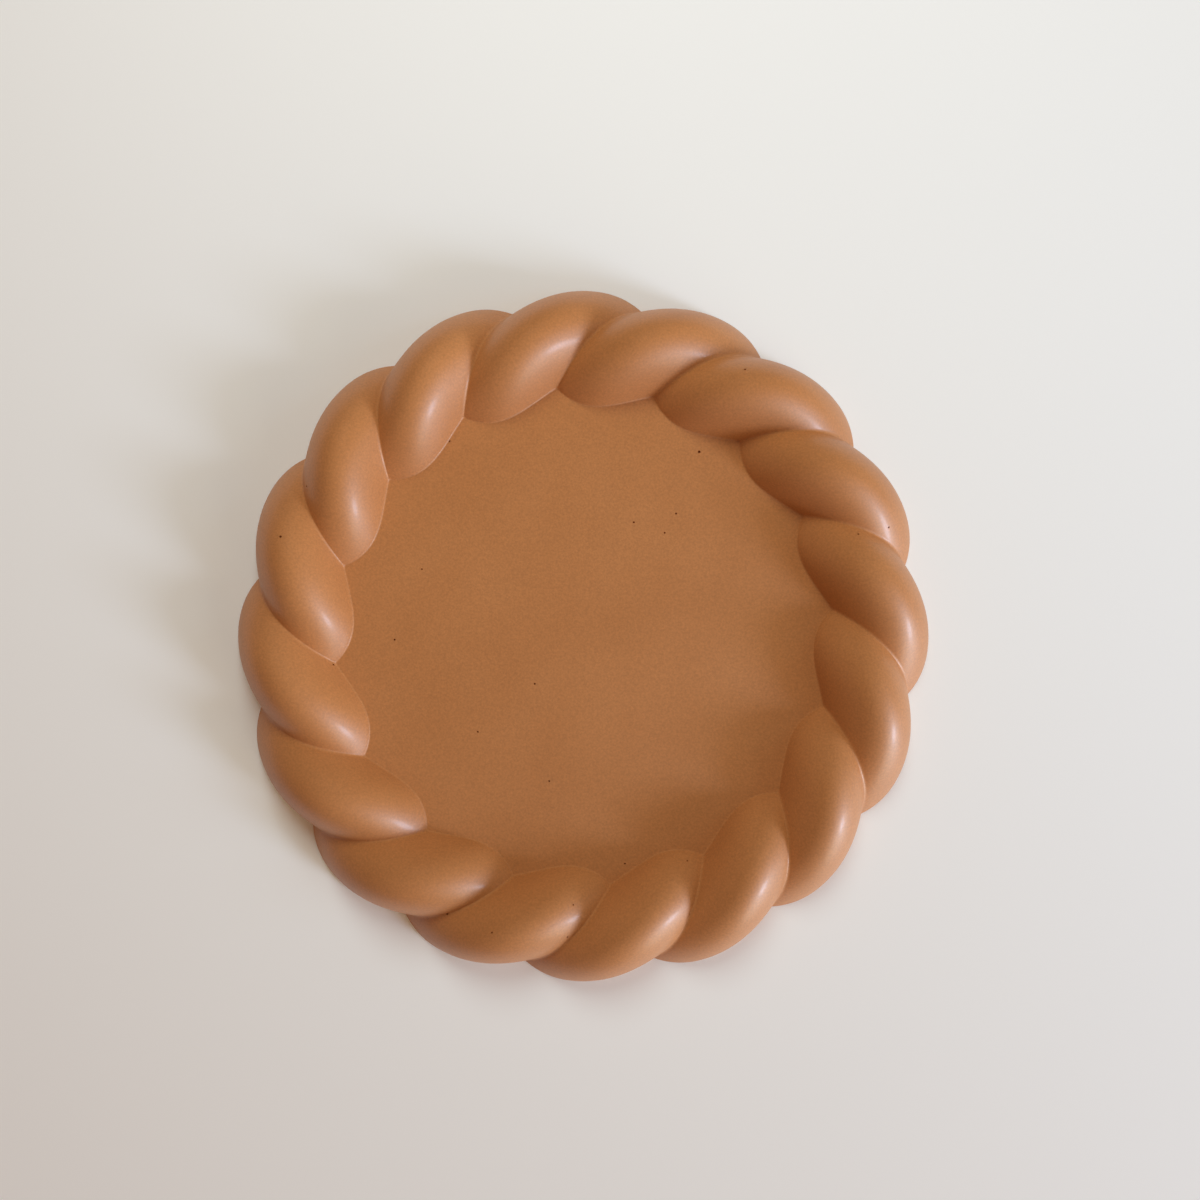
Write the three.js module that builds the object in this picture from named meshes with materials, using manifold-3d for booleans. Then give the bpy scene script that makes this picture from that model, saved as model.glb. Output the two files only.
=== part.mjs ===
// A round tray with a rope rim, cast in one piece.
// Millimetres, +Z up, with the origin at the middle of the flat underside.
//
// The rim is the upper part of a rope of three strands, stretched upwards. The rope runs once
// round the tray, and its strands come up one after the other as sixteen lobes. A flat floor
// fills the ring, and the underside is one flat face.

import * as THREE from "three";
import { ParametricGeometry } from "three/addons/geometries/ParametricGeometry.js";
import { mergeVertices } from "three/addons/utils/BufferGeometryUtils.js";
import Module from "manifold-3d";

// Driving dimensions.
const OUTER_DIAMETER = 170; // over the tips of the lobes
const STRAND_RADIUS = 12.8; // one strand of the rope
const STRAND_OFFSET = 5.1; // centre of a strand to the centre line of the rope
const STRANDS = 3;
const LOBES = 16; // round the whole rim
const ROPE_STRETCH = 1.79; // height of the rope's section over its width
const RIM_HEIGHT = 15.8; // underside to the crest of a lobe
const FLOOR_THICKNESS = 4;
const GROOVE_BEARING = 1; // where one groove crosses the crest, clockwise from +Y, in degrees

// Fineness of the faceted rim.
const STEPS_ROUND_RIM = 240;
const STEPS_ROUND_STRAND = 14;
const FLOOR_SEGMENTS = 128;

// Worked out from the dimensions above. The centre line of the rope is below the underside, so
// the lobes are widest at their foot.
const ROPE_TURNS = LOBES / STRANDS;
const ROPE_RADIUS = STRAND_RADIUS + STRAND_OFFSET;
const ROPE_AXIS_HEIGHT = RIM_HEIGHT - ROPE_STRETCH * ROPE_RADIUS;
const FOOT_HALF_WIDTH = Math.sqrt(ROPE_RADIUS ** 2 - (ROPE_AXIS_HEIGHT / ROPE_STRETCH) ** 2);
const RIM_CENTRE_RADIUS = OUTER_DIAMETER / 2 - FOOT_HALF_WIDTH;
const CUTTER_SIZE = 2 * OUTER_DIAMETER;

const wasm = await Module();
wasm.setup();

// Distance from the rope's centre line to the outside of a strand, in the direction that lies
// at the given angle from the strand's own centre. It is smallest in the grooves.
function strandReach(angle) {
  const across = STRAND_OFFSET * Math.sin(angle);
  return STRAND_OFFSET * Math.cos(angle) + Math.sqrt(STRAND_RADIUS ** 2 - across ** 2);
}

// A point on the rope: u goes once round the tray, against the clock, and v once round the
// rope's section. The section turns with the rope, so the grooves are lines of constant v.
function ropePoint(u, v, target) {
  const bearing = -2 * Math.PI * u;
  const fromGroove = THREE.MathUtils.degToRad(GROOVE_BEARING) - bearing;
  const lay = Math.PI / 2 + Math.PI / STRANDS + ROPE_TURNS * fromGroove;
  const strand = Math.min(Math.floor(STRANDS * v), STRANDS - 1);
  const angle = (STRANDS * v - strand - 0.5) * (2 * Math.PI / STRANDS);
  const direction = lay + strand * (2 * Math.PI / STRANDS) + angle;
  const reach = strandReach(angle);
  const radius = RIM_CENTRE_RADIUS + reach * Math.cos(direction);
  const height = ROPE_AXIS_HEIGHT + ROPE_STRETCH * reach * Math.sin(direction);
  target.set(radius * Math.sin(bearing), radius * Math.cos(bearing), height);
}

// A closed three.js geometry as a solid that can be joined and cut.
function solidFrom(geometry) {
  const bare = geometry.clone();
  bare.deleteAttribute("normal");
  bare.deleteAttribute("uv");
  const merged = mergeVertices(bare, 1e-4);
  const mesh = new wasm.Mesh({
    numProp: 3,
    vertProperties: new Float32Array(merged.attributes.position.array),
    triVerts: new Uint32Array(merged.index.array),
  });
  return new wasm.Manifold(mesh);
}

// A solid back as a three.js geometry with flat facets.
function geometryFrom(solid) {
  const mesh = solid.getMesh();
  const geometry = new THREE.BufferGeometry();
  geometry.setAttribute("position", new THREE.BufferAttribute(mesh.vertProperties, 3));
  geometry.setIndex(new THREE.BufferAttribute(mesh.triVerts, 1));
  const faceted = geometry.toNonIndexed();
  faceted.computeVertexNormals();
  return faceted;
}

// The whole rope, closed on itself.
function ropeRing() {
  return new ParametricGeometry(ropePoint, STEPS_ROUND_RIM, STRANDS * STEPS_ROUND_STRAND);
}

// The floor reaches out to the rope's centre line, so that the rim closes round its edge.
function floorDisc() {
  const depth = ROPE_RADIUS / 2;
  const profile = [
    new THREE.Vector2(0, -depth),
    new THREE.Vector2(RIM_CENTRE_RADIUS, -depth),
    new THREE.Vector2(RIM_CENTRE_RADIUS, FLOOR_THICKNESS),
    new THREE.Vector2(0, FLOOR_THICKNESS),
  ];
  return new THREE.LatheGeometry(profile, FLOOR_SEGMENTS).rotateX(Math.PI / 2);
}

// Everything under the flat underside.
function belowUnderside() {
  return new THREE.BoxGeometry(CUTTER_SIZE, CUTTER_SIZE, CUTTER_SIZE).translate(0, 0, -CUTTER_SIZE / 2);
}

const casting = solidFrom(ropeRing()).add(solidFrom(floorDisc())).subtract(solidFrom(belowUnderside()));

const terracottaPlaster = new THREE.MeshStandardMaterial({
  color: "#b3774b",
  roughness: 0.5,
  metalness: 0,
});

const tray = new THREE.Mesh(geometryFrom(casting), terracottaPlaster);
tray.name = "tray";

const object = new THREE.Group();
object.add(tray);

export default object;
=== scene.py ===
"""The looks of a round tray with a rope rim, cast in one piece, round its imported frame.

Metres, +Z up, with the origin at the middle of the flat underside. A bearing is counted in
degrees clockwise from +Y, seen from above, and a direction in the rope's section is counted
from straight outwards, through straight up.
"""

import math
import random

import bmesh
import bpy
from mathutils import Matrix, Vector


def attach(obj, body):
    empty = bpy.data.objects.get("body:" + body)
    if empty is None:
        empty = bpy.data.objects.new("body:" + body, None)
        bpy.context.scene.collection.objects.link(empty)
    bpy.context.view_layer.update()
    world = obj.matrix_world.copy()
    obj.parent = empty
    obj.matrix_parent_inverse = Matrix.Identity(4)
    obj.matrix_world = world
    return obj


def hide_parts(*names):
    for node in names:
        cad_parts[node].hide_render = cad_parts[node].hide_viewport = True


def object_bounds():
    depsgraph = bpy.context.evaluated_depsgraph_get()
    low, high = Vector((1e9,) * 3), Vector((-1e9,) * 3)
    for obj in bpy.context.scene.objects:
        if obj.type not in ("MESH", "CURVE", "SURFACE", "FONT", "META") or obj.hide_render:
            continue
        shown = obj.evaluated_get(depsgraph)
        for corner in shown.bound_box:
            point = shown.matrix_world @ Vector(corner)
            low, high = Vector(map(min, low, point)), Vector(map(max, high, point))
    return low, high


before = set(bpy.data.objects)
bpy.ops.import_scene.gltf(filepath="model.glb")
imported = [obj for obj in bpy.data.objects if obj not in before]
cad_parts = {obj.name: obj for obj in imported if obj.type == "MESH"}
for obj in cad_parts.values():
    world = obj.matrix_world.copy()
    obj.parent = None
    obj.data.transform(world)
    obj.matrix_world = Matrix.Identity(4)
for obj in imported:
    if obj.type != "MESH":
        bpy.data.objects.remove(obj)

bl_info = {
    "name": "Rope-rimmed tray",
    "version": (1, 0, 0),
    "blender": (4, 5, 0),
    "location": "3D View > Sidebar > Tray",
    "description": "Models a round cast tray with a rope rim, and a stage to show it on",
    "category": "Object",
}

MM = 0.001
CAD_LOW, CAD_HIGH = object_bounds()

# How finely the tray is modelled.
BANDS = 768  # round the rim
CIRCLE_STEPS = 28  # round a strand's circle, times the strands, so that all strands match
GROOVE_STEPS = 3  # across the rounding at the bottom of a groove
MERGE_DISTANCE = 0.004 * MM
ARC_END_DISTANCE = 0.02 * MM  # the ends of neighbouring arcs are this close, or closer
LEVEL_DISTANCE = 0.01 * MM  # lengths that differ by less than this count as the same
LOOP_SPACING = 0.2 * MM  # between the corners of the floor's outline, at least
SMOOTH_ANGLE = 50  # degrees between two faces, below which the edge is shaded smooth

DISH_MIDDLE = 10 * MM  # nearer to the axis than this, the tray's top is all floor

# The hollow rounding round the floor: (way in from the rim, height over the floor), both as
# shares of its size.
FLOOR_ROUNDING = ((0.2, 0.5), (0.5, 0.15), (1, 0))

# The rounding under the rim: (height over the underside, way in from the outline), both as
# shares of its size.
FOOT_ROUNDING = ((0.25, 0.25), (0, 1))

# The pale floor that the tray stands on.
FLOOR_CORNERS = 128
FLOOR_DROP = 0.02 * MM  # below the tray, so that the two don't share a face

# Lamps: (name, bearing, degrees over the horizon, distance in m, width in m, power in W,
# colour, whether it shows in the gloss). The reflectors stand so near that they would leave
# streaks on the lobes, so they light the tray but don't show in its gloss.
LAMPS = (
    ("window", 120, 20, 1.5, 0.35, 12, "#cce0ff", True),
    ("curtain", 130, 13, 1.5, 1.2, 11, "#fff8e0", True),
    ("reflector_above", 0, 50, 0.5, 0.25, 1.05, "#f0ffff", False),
    ("reflector_beside", 90, 30, 0.5, 0.25, 0.35, "#b8e0ff", False),
)

# Pinholes that air bubbles left in the surface. They are cut by small balls.
PINHOLE_SEED = 4
PINHOLE_COUNT = 22
PINHOLE_REACH = 0.9  # of the tray's radius that they are scattered over
NARROW_PINHOLE = 0.5 * MM
USUAL_PINHOLE = 0.6 * MM
WIDE_PINHOLE = 1 * MM
PINHOLE_DEPTH = 0.3  # of a ball's middle under the surface, as a share of its width
WELL_ABOVE = 1  # m over the underside, and over everything on the tray

# The patterns in the plaster. Real grain is finer than this and would be too fine to show, so
# it is drawn as coarse as it needs to show.
CLOUD_WIDTH = 26 * MM
GRAIN_WIDTH = 0.52 * MM
GRAIN_RELIEF = 0.03 * MM  # height of the bumps

# Sockets of the mixing nodes, by number, because some of them share a name.
MIX_SHARE, MIX_FIRST, MIX_SECOND = 0, 6, 7  # of a Mix node that mixes colours
MIX_RESULT = 2
SHADER_FIRST, SHADER_SECOND = 1, 2  # of a Mix Shader node


def linear_channel(value):
    """One channel of an sRGB colour, from 0 to 1, in linear light."""
    return value / 12.92 if value <= 0.04045 else ((value + 0.055) / 1.055) ** 2.4


def linear(hex_colour):
    """An sRGB hex colour such as #c08040 in linear light."""
    digits = hex_colour.lstrip("#")
    return tuple(linear_channel(int(digits[i : i + 2], 16) / 255) for i in (0, 2, 4))


def cad_floor_height():
    """The height of the CAD tray's floor, at its middle."""
    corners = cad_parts["tray"].data.vertices
    return max(v.co.z for v in corners if v.co.xy.length < DISH_MIDDLE)


def on_bearing(distance, bearing, height):
    """The point at that distance from the tray's axis, on that bearing in degrees."""
    turn = math.radians(bearing)
    return Vector((distance * math.sin(turn), distance * math.cos(turn), height))


class TrayShape(bpy.types.PropertyGroup):
    """Sizes of the cast tray."""

    outer_diameter: bpy.props.FloatProperty(
        name="Outer diameter",
        description="Over the tips of the lobes, at the foot of the rim",
        default=CAD_HIGH.x - CAD_LOW.x,
        unit="LENGTH",
        subtype="DISTANCE",
    )
    rim_height: bpy.props.FloatProperty(
        name="Rim height",
        description="From the underside to the crest of a lobe",
        default=CAD_HIGH.z,
        unit="LENGTH",
        subtype="DISTANCE",
    )
    floor_height: bpy.props.FloatProperty(
        name="Floor height",
        description="From the underside to the floor of the dish",
        default=cad_floor_height(),
        unit="LENGTH",
        subtype="DISTANCE",
    )
    strands: bpy.props.IntProperty(
        name="Strands",
        description="Strands that the rope is laid from",
        default=3,
    )
    lobes: bpy.props.IntProperty(
        name="Lobes",
        description="Lobes round the whole rim",
        default=16,
    )
    strand_radius: bpy.props.FloatProperty(
        name="Strand radius",
        description="Radius of one strand, before the rope is stretched upwards",
        default=12.8 * MM,
        unit="LENGTH",
        subtype="DISTANCE",
    )
    strand_offset: bpy.props.FloatProperty(
        name="Strand offset",
        description="From the rope's centre line to the centre of a strand",
        default=5.1 * MM,
        unit="LENGTH",
        subtype="DISTANCE",
    )
    stretch: bpy.props.FloatProperty(
        name="Stretch",
        description="Height of the rope's section over its width",
        default=1.79,
    )
    groove_bearing: bpy.props.FloatProperty(
        name="Groove bearing",
        description="Where one groove crosses the crest, clockwise from +Y",
        default=math.radians(1),
        unit="ROTATION",
        subtype="ANGLE",
    )
    groove_softness: bpy.props.FloatProperty(
        name="Groove softness",
        description="How far the rounding at the bottom of a groove reaches up each strand",
        default=0.9 * MM,
        unit="LENGTH",
        subtype="DISTANCE",
    )
    floor_softness: bpy.props.FloatProperty(
        name="Floor softness",
        description="Size of the hollow rounding where the floor meets the rim",
        default=0.4 * MM,
        unit="LENGTH",
        subtype="DISTANCE",
    )
    foot_softness: bpy.props.FloatProperty(
        name="Foot softness",
        description="Height and width of the rounded edge under the rim",
        default=0.4 * MM,
        unit="LENGTH",
        subtype="DISTANCE",
    )

    @property
    def rope_radius(self):
        return self.strand_radius + self.strand_offset

    @property
    def axis_height(self):
        """Height of the rope's centre line, which lies under the tray."""
        return self.rim_height - self.stretch * self.rope_radius

    @property
    def ring_radius(self):
        """Distance from the tray's axis to the rope's centre line."""
        foot = math.sqrt(self.rope_radius**2 - (self.axis_height / self.stretch) ** 2)
        return self.outer_diameter / 2 - foot

    @property
    def turns(self):
        """Full turns of the rope, once round the tray."""
        return self.lobes / self.strands


class TrayFinish(bpy.types.PropertyGroup):
    """Colours and gloss of the cast plaster."""

    body_colour: bpy.props.FloatVectorProperty(
        name="Body colour",
        description="The terracotta pigment mixed into the plaster",
        default=linear("#b87843"),
        subtype="COLOR",
        min=0,
        max=1,
    )
    pale_colour: bpy.props.FloatVectorProperty(
        name="Pale colour",
        description="Where the pigment is a little thinner",
        default=linear("#bf7f4a"),
        subtype="COLOR",
        min=0,
        max=1,
    )
    roughness: bpy.props.FloatProperty(
        name="Roughness",
        description="Roughness of the sealed surface",
        default=0.55,
        min=0,
        max=1,
    )


class TrayStage(bpy.types.PropertyGroup):
    """Floor, light and camera."""

    camera_height: bpy.props.FloatProperty(
        name="Camera height",
        description="From the underside of the tray up to the camera",
        default=214 * MM,
        unit="LENGTH",
        subtype="DISTANCE",
    )
    picture_width: bpy.props.FloatProperty(
        name="Picture width",
        description="Width of the floor that the camera sees",
        default=295.5 * MM,
        unit="LENGTH",
        subtype="DISTANCE",
    )
    shift: bpy.props.FloatVectorProperty(
        name="Camera shift",
        description="Shift of the picture to the right and up, as a share of its width",
        default=(0.0139, 0.0301),
        size=2,
    )
    brightness: bpy.props.FloatProperty(
        name="Brightness",
        description="Share of its full power that every lamp burns at",
        default=1,
    )
    room_strength: bpy.props.FloatProperty(
        name="Room strength",
        description="Strength of the even light from the room",
        default=0.28,
    )
    room_colour: bpy.props.FloatVectorProperty(
        name="Room colour",
        description="Colour of the even light that the room throws back, which fills the shadows",
        default=linear("#ffcca2"),
        subtype="COLOR",
        min=0,
        max=1,
    )
    floor_width: bpy.props.FloatProperty(
        name="Floor width",
        description="Width of the round pale floor",
        default=1.1,
        unit="LENGTH",
        subtype="DISTANCE",
    )
    wall_colour: bpy.props.FloatVectorProperty(
        name="Wall colour",
        description="The pale wall that shows past the floor",
        default=linear("#e3e0da"),
        subtype="COLOR",
        min=0,
        max=1,
    )
    floor_colour: bpy.props.FloatVectorProperty(
        name="Floor colour",
        description="The pale floor",
        default=linear("#f7f7f5"),
        subtype="COLOR",
        min=0,
        max=1,
    )


# Modelling.


def start_alone():
    """Leaves nothing selected."""
    bpy.ops.object.select_all(action="DESELECT")


def edit(piece):
    """Opens one piece for editing."""
    bpy.context.view_layer.objects.active = piece
    bpy.ops.object.mode_set(mode="EDIT")


def leave_edit():
    bpy.ops.object.mode_set(mode="OBJECT")


def select(piece, kind, wanted):
    """Selects the vertices, edges or faces of the piece being edited that wanted() is true for."""
    mesh = bmesh.from_edit_mesh(piece.data)
    bpy.ops.mesh.select_mode(type={"verts": "VERT", "edges": "EDGE", "faces": "FACE"}[kind])
    bpy.ops.mesh.select_all(action="DESELECT")
    for element in getattr(mesh, kind):
        if wanted(element):
            element.select_set(True)
    mesh.select_flush_mode()
    bmesh.update_edit_mesh(piece.data)


def apply_modifier(piece, kind, **settings):
    """Adds a modifier of that kind, with those settings, and applies it."""
    modifier = piece.modifiers.new(kind.title(), kind)
    for name, value in settings.items():
        setattr(modifier, name, value)
    bpy.context.view_layer.objects.active = piece
    bpy.ops.object.modifier_apply(modifier=modifier.name)


def in_section(reach, direction):
    """A point of the straight rope's section: -Y is outwards and +Z is up."""
    return Vector((0, -reach * math.cos(direction), reach * math.sin(direction)))


def strand_arc(shape, direction):
    """The outside of one strand's circle, up to the grooves on its two sides."""
    bpy.ops.mesh.primitive_circle_add(
        vertices=CIRCLE_STEPS * shape.strands,
        radius=shape.strand_radius,
        location=in_section(shape.strand_offset, direction),
        rotation=(0, math.pi / 2, 0),
    )
    arc = bpy.context.object
    bpy.ops.object.transform_apply(location=True, rotation=True, scale=True)
    edit(arc)
    for side in (-1, 1):
        groove = direction + side * math.pi / shape.strands
        beyond = in_section(1, groove + side * math.pi / 2)
        bpy.ops.mesh.select_all(action="SELECT")
        bpy.ops.mesh.bisect(
            plane_co=(0, 0, 0), plane_no=beyond, clear_outer=True, threshold=MERGE_DISTANCE
        )
    leave_edit()
    return arc


def rope_section(shape):
    """The closed outline of the rope, with a small rounding at the bottom of each groove."""
    half = math.pi / shape.strands
    first = math.pi / 2 + shape.turns * shape.groove_bearing + half
    arcs = [strand_arc(shape, first + 2 * half * i) for i in range(shape.strands)]
    start_alone()
    for arc in arcs:
        arc.select_set(True)
    bpy.context.view_layer.objects.active = arcs[0]
    bpy.ops.object.join()
    outline = bpy.context.object
    edit(outline)
    bpy.ops.mesh.select_all(action="SELECT")
    bpy.ops.mesh.remove_doubles(threshold=ARC_END_DISTANCE)
    across = shape.strand_offset * math.sin(half)
    valley = shape.strand_offset * math.cos(half) + math.sqrt(shape.strand_radius**2 - across**2)
    select(outline, "verts", lambda v: v.co.length < valley + LEVEL_DISTANCE)
    bpy.ops.mesh.bevel(
        offset=shape.groove_softness, segments=GROOVE_STEPS, affect="VERTICES"
    )
    leave_edit()
    return outline


def rope_ring(shape):
    """The whole rope, laid, stretched upwards and closed into a ring round the tray's axis."""
    rope = rope_section(shape)
    length = 2 * math.pi * shape.ring_radius
    band = length / BANDS
    edit(rope)
    bpy.ops.mesh.select_all(action="SELECT")
    bpy.ops.mesh.extrude_region_move(TRANSFORM_OT_translate={"value": (band, 0, 0)})
    leave_edit()
    apply_modifier(
        rope,
        "ARRAY",
        count=BANDS,
        use_relative_offset=False,
        use_constant_offset=True,
        constant_offset_displace=(band, 0, 0),
        use_merge_vertices=True,
        merge_threshold=MERGE_DISTANCE,
    )
    apply_modifier(
        rope,
        "SIMPLE_DEFORM",
        deform_method="TWIST",
        deform_axis="X",
        angle=-2 * math.pi * shape.turns,
    )
    edit(rope)
    bpy.ops.mesh.select_all(action="SELECT")
    bpy.ops.transform.resize(value=(1, 1, shape.stretch), center_override=(0, 0, 0))
    leave_edit()
    apply_modifier(
        rope, "SIMPLE_DEFORM", deform_method="BEND", deform_axis="Z", angle=2 * math.pi
    )
    edit(rope)
    bpy.ops.mesh.select_all(action="SELECT")
    bpy.ops.transform.translate(value=(0, -shape.ring_radius, shape.axis_height))
    bpy.ops.mesh.remove_doubles(threshold=MERGE_DISTANCE)
    leave_edit()
    return rope


def cut_below(rim, shape, height, outer_side):
    """Takes away what is under that height, on the outer or on the inner side of the rope."""

    def on_side(face):
        return (face.calc_center_median().xy.length > shape.ring_radius) == outer_side

    select(rim, "faces", on_side)
    bpy.ops.mesh.bisect(
        plane_co=(0, 0, height),
        plane_no=(0, 0, 1),
        clear_inner=True,
        threshold=MERGE_DISTANCE,
    )


def select_open_edge(rim, height):
    """Selects the open edge that lies at that height."""

    def at_height(edge):
        level = all(abs(v.co.z - height) < LEVEL_DISTANCE for v in edge.verts)
        return edge.is_boundary and level

    select(rim, "edges", at_height)


def fill_floor(rim, shape):
    """Fills the dish's floor, with a small hollow rounding where it meets the rim. The outline
    of the flat floor stays sharp, so that the floor is shaded flat."""
    softness = shape.floor_softness
    select_open_edge(rim, shape.floor_height + softness)
    bpy.ops.mesh.remove_doubles(threshold=LOOP_SPACING)
    select_open_edge(rim, shape.floor_height + softness)
    bpy.ops.mesh.edge_face_add()
    away, height = 0, 1
    for further, lower in FLOOR_ROUNDING:
        bpy.ops.mesh.inset(thickness=(further - away) * softness)
        bpy.ops.mesh.remove_doubles(threshold=LOOP_SPACING)
        bpy.ops.transform.translate(value=(0, 0, (lower - height) * softness))
        away, height = further, lower
    bpy.ops.mesh.region_to_loop()
    bpy.ops.mesh.mark_sharp()


def close_underside(rim, shape):
    """Rounds the edge under the rim with narrow bands, and closes the underside with one flat
    face, whose outline stays sharp."""
    softness = shape.foot_softness
    radius = shape.outer_diameter / 2
    height, inset = softness, 0
    select_open_edge(rim, height)
    for lower, further in FOOT_ROUNDING:
        drop = height - lower * softness
        share = (radius - further * softness) / (radius - inset)
        bpy.ops.mesh.extrude_region_move(TRANSFORM_OT_translate={"value": (0, 0, -drop)})
        bpy.ops.transform.resize(value=(share, share, 1), center_override=(0, 0, 0))
        height, inset = lower * softness, further * softness
    bpy.ops.mesh.mark_sharp()
    bpy.ops.mesh.edge_face_add()


def scatter_pinholes(shape):
    """The distance, bearing and width of each pinhole, even over the tray seen from above."""
    chance = random.Random(PINHOLE_SEED)
    reach = PINHOLE_REACH * shape.outer_diameter / 2
    for _ in range(PINHOLE_COUNT):
        distance = reach * math.sqrt(chance.random())
        bearing = chance.uniform(0, 360)
        width = chance.triangular(NARROW_PINHOLE, WIDE_PINHOLE, USUAL_PINHOLE)
        yield distance, bearing, width


def bubble(tray, distance, bearing, width):
    """A small ball, more than half of it sunk in the tray's surface."""
    above = on_bearing(distance, bearing, WELL_ABOVE)
    found, surface, outwards, _ = tray.ray_cast(above, (0, 0, -1))
    if not found:
        raise ValueError(f"no surface {distance} m out on the bearing {bearing}")
    bpy.ops.mesh.primitive_ico_sphere_add(
        subdivisions=2,
        radius=width / 2,
        location=surface - outwards * width * PINHOLE_DEPTH,
    )
    return bpy.context.object


def cut_pinholes(tray, shape):
    """Takes the balls out of the tray, and leaves the tray selected for the shading."""
    start_alone()
    bubbles = [bubble(tray, *pinhole) for pinhole in scatter_pinholes(shape)]
    for ball in bubbles:
        ball.select_set(True)
    bpy.ops.object.join()
    balls = bpy.context.object
    apply_modifier(tray, "BOOLEAN", operation="DIFFERENCE", solver="EXACT", object=balls)
    bpy.data.objects.remove(balls)
    tray.select_set(True)


def model_casting(shape):
    """The whole tray, as one closed piece."""
    rim = rope_ring(shape)
    rim.name = "cast_tray"
    rim.data.name = "cast_tray"
    edit(rim)
    cut_below(rim, shape, shape.foot_softness, outer_side=True)
    cut_below(rim, shape, shape.floor_height + shape.floor_softness, outer_side=False)
    bpy.ops.mesh.select_all(action="SELECT")
    bpy.ops.mesh.delete_loose()
    fill_floor(rim, shape)
    close_underside(rim, shape)
    bpy.ops.mesh.select_all(action="SELECT")
    bpy.ops.mesh.normals_make_consistent(inside=False)
    leave_edit()
    cut_pinholes(rim, shape)
    return rim


# Materials.


def add_node(tree, kind, settings=None, links=None):
    """A node with its settings, by the name of an attribute or a socket, and its links, from the
    name of a socket to the output that feeds it."""
    node = tree.nodes.new(kind)
    for name, value in (settings or {}).items():
        if name in node.inputs:
            node.inputs[name].default_value = value
        else:
            setattr(node, name, value)
    for name, output in (links or {}).items():
        tree.links.new(output, node.inputs[name])
    return node


def new_material(name):
    """A material with no nodes yet, and its node tree."""
    material = bpy.data.materials.new(name)
    material.use_nodes = True
    material.node_tree.nodes.clear()
    return material, material.node_tree


def mixed_colour(tree, blend, share, first, second):
    """The colour of a Mix node. The share and the two colours are values or outputs."""
    mix = add_node(tree, "ShaderNodeMix", {"data_type": "RGBA", "blend_type": blend})
    for socket, source in ((MIX_SHARE, share), (MIX_FIRST, first), (MIX_SECOND, second)):
        if isinstance(source, bpy.types.NodeSocket):
            tree.links.new(source, mix.inputs[socket])
        else:
            mix.inputs[socket].default_value = source
    return mix.outputs[MIX_RESULT]


def sealed_cast_plaster(finish):
    """Pigmented plaster, cast, sanded and sealed: an even earthy orange with faint clouds in
    the pigment and a fine grain. The body smears a window into a wide soft patch, and the thin
    coat of sealer over it adds a small brighter core."""
    material, tree = new_material("sealed_cast_terracotta_plaster")
    place = add_node(tree, "ShaderNodeTexCoord").outputs["Object"]
    clouds = add_node(
        tree,
        "ShaderNodeTexNoise",
        {"Scale": 1 / CLOUD_WIDTH, "Detail": 3, "Roughness": 0.55},
        {"Vector": place},
    )
    cloud_share = add_node(
        tree,
        "ShaderNodeMapRange",
        {"From Min": 0.3, "From Max": 0.7},
        {"Value": clouds.outputs["Fac"]},
    )
    pigment = mixed_colour(
        tree,
        "MIX",
        cloud_share.outputs["Result"],
        (*finish.body_colour, 1),
        (*finish.pale_colour, 1),
    )
    grain = add_node(
        tree,
        "ShaderNodeTexNoise",
        {"Scale": 1 / GRAIN_WIDTH, "Detail": 3, "Roughness": 0.62},
        {"Vector": place},
    )
    speckle = add_node(
        tree,
        "ShaderNodeMapRange",
        {"From Min": 0.3, "From Max": 0.7, "To Min": 0.86, "To Max": 1.12},
        {"Value": grain.outputs["Fac"]},
    )
    colour = mixed_colour(tree, "MULTIPLY", 1, pigment, speckle.outputs["Result"])
    relief = add_node(
        tree,
        "ShaderNodeBump",
        {"Strength": 0.4, "Distance": GRAIN_RELIEF},
        {"Height": grain.outputs["Fac"]},
    )
    shader = add_node(
        tree,
        "ShaderNodeBsdfPrincipled",
        {
            "Roughness": finish.roughness,
            "IOR": 1.5,
            "Specular IOR Level": 1,
            "Coat Weight": 0.16,
            "Coat Roughness": 0.2,
        },
        {"Base Color": colour, "Normal": relief.outputs["Normal"]},
    )
    add_node(tree, "ShaderNodeOutputMaterial", links={"Surface": shader.outputs["BSDF"]})
    return material


def painted_board(colour):
    """Matt white-painted board: even, pale and without gloss."""
    material, tree = new_material("matt_painted_board")
    shader = add_node(
        tree,
        "ShaderNodeBsdfPrincipled",
        {"Base Color": (*colour, 1), "Roughness": 0.9, "Specular IOR Level": 0.2},
    )
    add_node(tree, "ShaderNodeOutputMaterial", links={"Surface": shader.outputs["BSDF"]})
    return material


# Operators.


class OBJECT_OT_cast_tray(bpy.types.Operator):
    """Models the tray: a rope laid into a ring, cut off flat, with a floor across it"""

    bl_idname = "object.cast_tray"
    bl_label = "Cast tray"

    def execute(self, context):
        shape = context.scene.tray_shape
        finish = context.scene.tray_finish
        start_alone()
        casting = model_casting(shape)
        bpy.ops.object.shade_smooth_by_angle(angle=math.radians(SMOOTH_ANGLE))
        casting.data.materials.append(sealed_cast_plaster(finish))
        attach(casting, "root")
        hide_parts("tray")
        return {"FINISHED"}


def soft_lamp(name, bearing, elevation, distance, width, power, colour, in_gloss):
    """A round lamp that shines at the middle of the tray's underside and is never in view."""
    light = bpy.data.lights.new(name, "AREA")
    light.shape = "DISK"
    light.size = width
    light.energy = power
    light.color = linear(colour)
    lamp = bpy.data.objects.new(name, light)
    rise = math.radians(elevation)
    lamp.location = on_bearing(distance * math.cos(rise), bearing, distance * math.sin(rise))
    lamp.rotation_mode = "QUATERNION"
    lamp.rotation_quaternion = (-lamp.location).to_track_quat("-Z", "Y")
    lamp.visible_camera = False
    lamp.visible_glossy = in_gloss
    bpy.context.scene.collection.objects.link(lamp)


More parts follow.
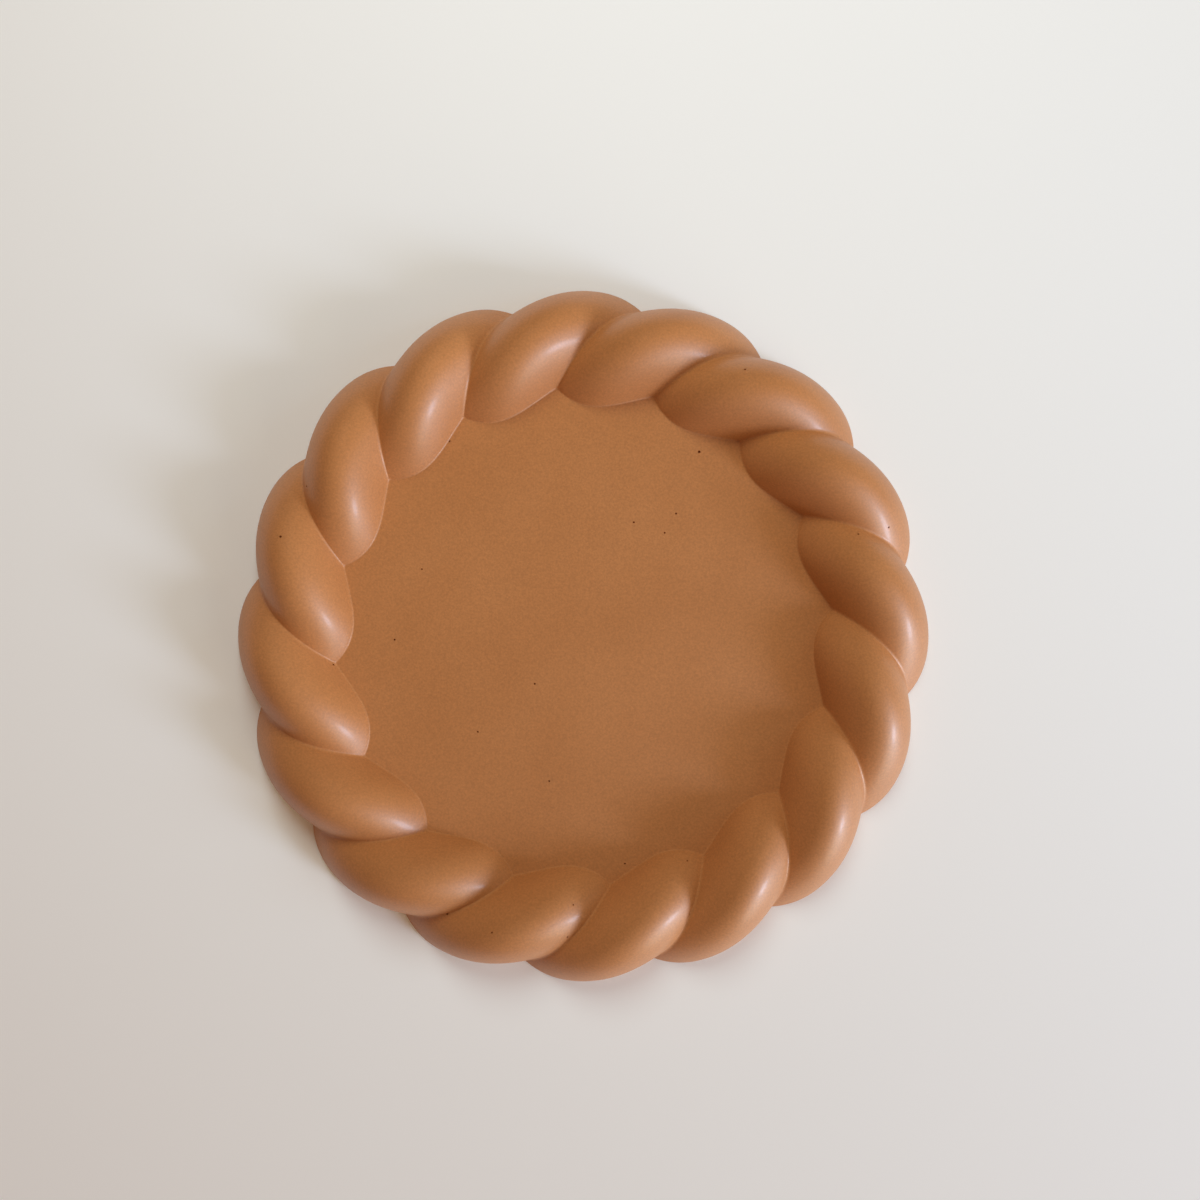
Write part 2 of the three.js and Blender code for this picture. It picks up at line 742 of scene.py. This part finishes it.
def soft_room(scene, stage):
    """Even warm light from the room. The camera sees a plain pale wall in its place."""
    world = bpy.data.worlds.new("soft_room")
    world.use_nodes = True
    tree = world.node_tree
    tree.nodes.clear()
    rays = add_node(tree, "ShaderNodeLightPath")
    glow = add_node(
        tree,
        "ShaderNodeBackground",
        {"Color": (*stage.room_colour, 1), "Strength": stage.room_strength},
    )
    wall = add_node(tree, "ShaderNodeBackground", {"Color": (*stage.wall_colour, 1)})
    seen = add_node(tree, "ShaderNodeMixShader", links={"Fac": rays.outputs["Is Camera Ray"]})
    tree.links.new(glow.outputs["Background"], seen.inputs[SHADER_FIRST])
    tree.links.new(wall.outputs["Background"], seen.inputs[SHADER_SECOND])
    add_node(tree, "ShaderNodeOutputWorld", links={"Surface": seen.outputs["Shader"]})
    scene.world = world


def overhead_camera(scene, stage):
    """A camera straight over the tray's axis, looking down, with +Y at the top."""
    camera = bpy.data.cameras.new("overhead")
    camera.sensor_fit = "HORIZONTAL"
    camera.lens = camera.sensor_width * stage.camera_height / stage.picture_width
    camera.shift_x, camera.shift_y = stage.shift
    camera.clip_start = 10 * MM
    holder = bpy.data.objects.new("overhead", camera)
    holder.location = (0, 0, stage.camera_height)
    scene.collection.objects.link(holder)
    scene.camera = holder


class OBJECT_OT_tray_stage(bpy.types.Operator):
    """Lays the pale floor and sets up the lamps, the room's light and the camera"""

    bl_idname = "object.tray_stage"
    bl_label = "Stage"

    def execute(self, context):
        scene = context.scene
        stage = scene.tray_stage
        start_alone()
        bpy.ops.mesh.primitive_circle_add(
            vertices=FLOOR_CORNERS,
            radius=stage.floor_width / 2,
            fill_type="NGON",
            location=(0, 0, -FLOOR_DROP),
        )
        floor = bpy.context.object
        floor.name = "floor"
        floor.data.materials.append(painted_board(stage.floor_colour))
        for *placing, power, colour, in_gloss in LAMPS:
            soft_lamp(*placing, power * stage.brightness, colour, in_gloss)
        soft_room(scene, stage)
        overhead_camera(scene, stage)
        scene.view_settings.view_transform = "Standard"
        return {"FINISHED"}


class VIEW3D_PT_tray(bpy.types.Panel):
    """Sizes, colours and steps of the tray"""

    bl_label = "Rope-rimmed tray"
    bl_idname = "VIEW3D_PT_tray"
    bl_space_type = "VIEW_3D"
    bl_region_type = "UI"
    bl_category = "Tray"

    def draw(self, context):
        layout = self.layout
        for name in PROPERTY_GROUPS:
            group = getattr(context.scene, name)
            box = layout.box()
            for field in group.bl_rna.properties:
                if field.identifier not in ("rna_type", "name"):
                    box.prop(group, field.identifier)
        for operator in OPERATORS:
            layout.operator(operator.bl_idname)


PROPERTY_GROUPS = {
    "tray_shape": TrayShape,
    "tray_finish": TrayFinish,
    "tray_stage": TrayStage,
}
OPERATORS = (OBJECT_OT_cast_tray, OBJECT_OT_tray_stage)
CLASSES = (*PROPERTY_GROUPS.values(), *OPERATORS, VIEW3D_PT_tray)


def register():
    for item in CLASSES:
        bpy.utils.register_class(item)
    for name, group in PROPERTY_GROUPS.items():
        setattr(bpy.types.Scene, name, bpy.props.PointerProperty(type=group))


def unregister():
    for name in PROPERTY_GROUPS:
        delattr(bpy.types.Scene, name)
    for item in reversed(CLASSES):
        bpy.utils.unregister_class(item)


def main():
    register()
    bpy.ops.object.cast_tray()
    bpy.ops.object.tray_stage()


if __name__ == "__main__":
    main()
